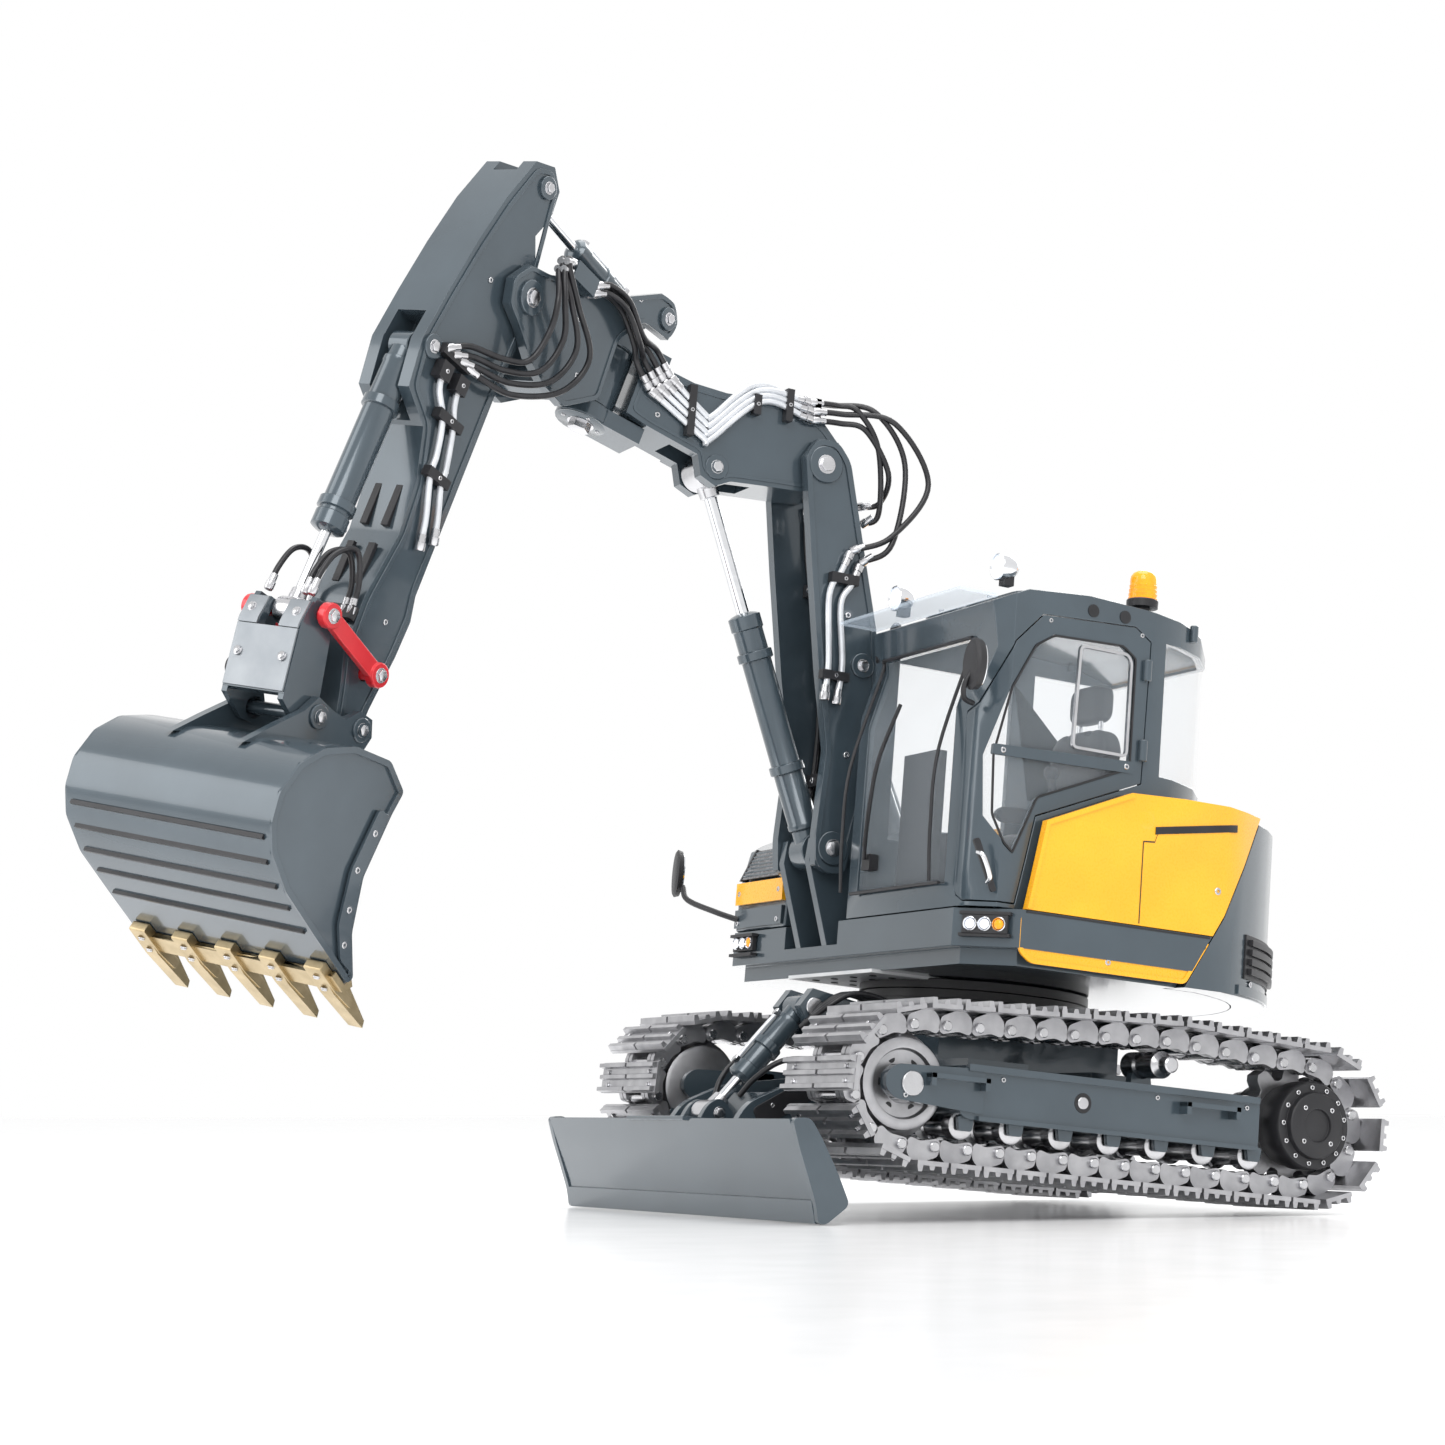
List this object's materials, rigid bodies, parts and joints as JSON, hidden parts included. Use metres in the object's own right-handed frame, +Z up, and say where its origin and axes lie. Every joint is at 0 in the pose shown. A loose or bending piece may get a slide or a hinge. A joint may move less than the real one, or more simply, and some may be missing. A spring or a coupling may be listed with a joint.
{
  "type": "rc excavator",
  "caption": "Tracked hydraulic excavator model with a slewing house and cab, dozer blade, two-piece boom with a sideways-swinging head, stick and toothed bucket.",
  "frame": {"origin": "middle of the footprint at floor level, with the machine standing nose-up on its blade edge and the rear of its tracks", "axes": "+X towards the bucket end, +Y to the left of the machine, +Z up"},
  "size_m": [0.4764, 0.2324, 0.3855],
  "materials": {
    "slate_paint": "gloss blue-grey paint",
    "yellow_paint": "gloss yellow paint",
    "red_paint": "gloss red paint",
    "track_steel": "satin machined steel",
    "black_metal": "satin black",
    "rod_chrome": "polished",
    "glazing": "clear",
    "lamp_lens": "clear lens",
    "amber_lens": "amber lens",
    "seat_leather": "matt black",
    "black_plastic": "matt black",
    "silver_alloy": "satin silver",
    "hose_rubber": "smooth black",
    "tooth_brass": "satin"
  },
  "bodies": {
    "undercarriage": {"car_body": "slate_paint", "slew_ring": "black_metal", "track_frame_left": "slate_paint", "track_frame_right": "slate_paint", "track_chain_left": "track_steel", "track_chain_right": "track_steel"},
    "idler_left": {"idler_left": "track_steel"},
    "idler_right": {"idler_right": "track_steel"},
    "sprocket_left": {"sprocket_left": "black_metal"},
    "sprocket_right": {"sprocket_right": "black_metal"},
    "blade": {"blade": "slate_paint"},
    "blade_barrel": {"blade_barrel": "slate_paint"},
    "blade_rod": {"blade_rod": "rod_chrome"},
    "house": {"deck": "slate_paint", "counterweight": "slate_paint", "engine_cover": "yellow_paint", "hood_right": "slate_paint", "cab_frame": "slate_paint", "windshield": "glazing", "cab_glass_right": "glazing", "rear_glass": "glazing", "sun_visor": "glazing", "seat": "seat_leather", "control_console": "black_plastic", "beacon": "amber_lens", "cab_lamp_left": "rod_chrome", "cab_lamp_right": "rod_chrome", "deck_lamps_left": "lamp_lens", "deck_lamps_right": "lamp_lens", "battery_pack": "black_plastic", "hydraulic_pump": "silver_alloy"},
    "door": {"door_frame": "slate_paint", "door_glass": "glazing"},
    "mirror": {"mirror_right": "black_plastic"},
    "lower_boom": {"lower_boom": "slate_paint", "pipes_lower_boom": "silver_alloy", "hoses_lower_boom": "hose_rubber", "hoses_knee": "hose_rubber"},
    "lift_barrel": {"lift_barrel": "slate_paint"},
    "lift_rod": {"lift_rod": "rod_chrome"},
    "knee_barrel": {"knee_barrel": "slate_paint"},
    "knee_rod": {"knee_rod": "rod_chrome"},
    "upper_boom": {"upper_boom": "slate_paint", "pipes_upper_boom": "silver_alloy", "hoses_head": "hose_rubber"},
    "offset_barrel": {"offset_barrel": "slate_paint"},
    "offset_rod": {"offset_rod": "rod_chrome"},
    "offset_head": {"offset_head": "slate_paint"},
    "stick_barrel": {"stick_barrel": "slate_paint"},
    "stick_rod": {"stick_rod": "rod_chrome"},
    "stick": {"stick": "slate_paint", "hoses_stick": "hose_rubber", "pipes_stick": "silver_alloy", "hoses_bucket": "hose_rubber"},
    "bucket_barrel": {"bucket_barrel": "slate_paint"},
    "bucket_rod": {"bucket_rod": "rod_chrome"},
    "link_bars": {"link_bars": "red_paint"},
    "link_yoke": {"link_yoke": "slate_paint"},
    "bucket": {"bucket": "slate_paint", "bucket_teeth": "tooth_brass"}
  },
  "joints": [
    {"name": "slew", "type": "hinge", "parent": "undercarriage", "child": "house", "pos_m": [-0.12007, 0.01224, 0.08457], "axis": [-0.0924, 0, 0.9957], "continuous": true},
    {"name": "sprocket_left_spin", "type": "hinge", "parent": "undercarriage", "child": "sprocket_left", "pos_m": [-0.20763, 0.09099, 0.03246], "axis": [0, 1, 0], "continuous": true},
    {"name": "idler_left_spin", "type": "hinge", "parent": "undercarriage", "child": "idler_left", "pos_m": [-0.03478, 0.09099, 0.04749], "axis": [0, 1, 0], "continuous": true},
    {"name": "sprocket_right_spin", "type": "hinge", "parent": "undercarriage", "child": "sprocket_right", "pos_m": [-0.20763, -0.06651, 0.03246], "axis": [0, 1, 0], "continuous": true},
    {"name": "idler_right_spin", "type": "hinge", "parent": "undercarriage", "child": "idler_right", "pos_m": [-0.03478, -0.06651, 0.04749], "axis": [0, 1, 0], "continuous": true},
    {"name": "blade_lift", "type": "hinge", "parent": "undercarriage", "child": "blade", "pos_m": [-0.07011, 0.01224, 0.04401], "axis": [0, -1, 0], "range_deg": [0, 12]},
    {"name": "blade_barrel_tilt", "type": "hinge", "parent": "undercarriage", "child": "blade_barrel", "pos_m": [-0.04301, 0.01224, 0.07665], "axis": [0, 1, 0], "range_deg": [-13.27, 1.5]},
    {"name": "blade_rod_slide", "type": "slide", "parent": "blade_barrel", "child": "blade_rod", "axis": [0.7002, 0, -0.7139], "range_m": [-0.00987, 0.001]},
    {"name": "door_swing", "type": "hinge", "parent": "house", "child": "door", "pos_m": [-0.13198, 0.11074, 0.15879], "axis": [-0.0924, 0, 0.9957], "range_deg": [0, 80]},
    {"name": "mirror_fold", "type": "hinge", "parent": "house", "child": "mirror", "pos_m": [-0.06015, -0.07176, 0.11524], "axis": [-0.0924, 0, 0.9957], "range_deg": [-6, 50]},
    {"name": "boom_lift", "type": "hinge", "parent": "house", "child": "lower_boom", "pos_m": [-0.05978, -0.00976, 0.13837], "axis": [0, 1, 0], "range_deg": [-8, 24]},
    {"name": "lift_barrel_tilt", "type": "hinge", "parent": "house", "child": "lift_barrel", "pos_m": [-0.10881, -0.00976, 0.11474], "axis": [0, 1, 0], "range_deg": [-6.34, 16.03]},
    {"name": "lift_rod_slide", "type": "slide", "parent": "lift_barrel", "child": "lift_rod", "axis": [0.3463, 0, 0.9381], "range_m": [-0.00575, 0.01524]},
    {"name": "boom_knee", "type": "hinge", "parent": "lower_boom", "child": "upper_boom", "pos_m": [-0.05771, -0.00976, 0.2892], "axis": [0, 1, 0], "range_deg": [-15, 10], "deforming": ["hoses_knee"]},
    {"name": "knee_barrel_tilt", "type": "hinge", "parent": "lower_boom", "child": "knee_barrel", "pos_m": [-0.05978, -0.00976, 0.13837], "axis": [0, 1, 0], "range_deg": [-2.65, 2.27]},
    {"name": "knee_rod_slide", "type": "slide", "parent": "knee_barrel", "child": "knee_rod", "axis": [0.3065, 0, 0.9519], "range_m": [-0.00859, 0.01239]},
    {"name": "head_swing", "type": "hinge", "parent": "upper_boom", "child": "offset_head", "pos_m": [0.03978, -0.00976, 0.29925], "axis": [-0.3681, 0, 0.9298], "range_deg": [-45, 5], "deforming": ["hoses_head"]},
    {"name": "offset_barrel_tilt", "type": "hinge", "parent": "upper_boom", "child": "offset_barrel", "pos_m": [-0.01407, -0.03176, 0.29944], "axis": [-0.3681, 0, 0.9298], "range_deg": [-9.16, 2.35]},
    {"name": "offset_rod_slide", "type": "slide", "parent": "offset_barrel", "child": "offset_rod", "axis": [0.9286, 0.0505, 0.3677], "range_m": [-0.01854, 0.00295]},
    {"name": "stick_swing", "type": "hinge", "parent": "offset_head", "child": "stick", "pos_m": [0.08922, 0.02455, 0.33388], "axis": [-0.4691, 0.8634, -0.1857], "range_deg": [-14, 12], "deforming": ["hoses_stick"]},
    {"name": "stick_barrel_tilt", "type": "hinge", "parent": "offset_head", "child": "stick_barrel", "pos_m": [0.01637, -0.01278, 0.3443], "axis": [-0.4691, 0.8634, -0.1857], "range_deg": [-3.21, 2.96]},
    {"name": "stick_rod_slide", "type": "slide", "parent": "stick_barrel", "child": "stick_rod", "axis": [0.7817, 0.5038, 0.3677], "range_m": [-0.01091, 0.00949]},
    {"name": "bucket_curl", "type": "hinge", "parent": "stick", "child": "bucket", "pos_m": [0.15287, 0.0243, 0.17194], "axis": [-0.4691, 0.8634, -0.1857], "range_deg": [-15, 30], "deforming": ["hoses_bucket"]},
    {"name": "bucket_barrel_tilt", "type": "hinge", "parent": "stick", "child": "bucket_barrel", "pos_m": [0.12963, 0.0407, 0.30686], "axis": [-0.4691, 0.8634, -0.1857], "range_deg": [-2.01, 1.75]},
    {"name": "bucket_rod_slide", "type": "slide", "parent": "bucket_barrel", "child": "bucket_rod", "axis": [0.3831, 0.0094, -0.9237], "range_m": [-0.00761, 0.01421]},
    {"name": "link_swing", "type": "hinge", "parent": "stick", "child": "link_bars", "pos_m": [0.14751, 0.02556, 0.19133], "axis": [-0.4691, 0.8634, -0.1857], "range_deg": [-13.18, 24.85]},
    {"name": "yoke_swing", "type": "hinge", "parent": "link_bars", "child": "link_yoke", "pos_m": [0.17062, 0.0417, 0.20801], "axis": [-0.4691, 0.8634, -0.1857], "range_deg": [-14.59, 8.04]}
  ],
  "couplings": [
    {"joint": "idler_left_spin", "follows": "sprocket_left_spin", "ratio": 1.0481},
    {"joint": "idler_right_spin", "follows": "sprocket_right_spin", "ratio": 1.0481},
    {"joint": "blade_barrel_tilt", "follows": "blade_lift", "ratio": -0.98085},
    {"joint": "blade_rod_slide", "follows": "blade_lift", "m_per_rad": -0.042357},
    {"joint": "lift_barrel_tilt", "follows": "boom_lift", "ratio": 0.60537},
    {"joint": "lift_rod_slide", "follows": "boom_lift", "m_per_rad": 0.033985},
    {"joint": "knee_barrel_tilt", "follows": "boom_knee", "ratio": 0.076605},
    {"joint": "knee_rod_slide", "follows": "boom_knee", "m_per_rad": -0.043488},
    {"joint": "offset_barrel_tilt", "follows": "head_swing", "ratio": 0.17028},
    {"joint": "offset_rod_slide", "follows": "head_swing", "m_per_rad": 0.022332},
    {"joint": "stick_barrel_tilt", "follows": "stick_swing", "ratio": 0.12206},
    {"joint": "stick_rod_slide", "follows": "stick_swing", "m_per_rad": 0.040551},
    {"joint": "bucket_barrel_tilt", "follows": "bucket_curl", "ratio": -0.016964},
    {"joint": "bucket_rod_slide", "follows": "bucket_curl", "m_per_rad": 0.025233},
    {"joint": "link_swing", "follows": "bucket_curl", "ratio": 0.77836},
    {"joint": "yoke_swing", "follows": "bucket_curl", "ratio": -0.43617}
  ]
}
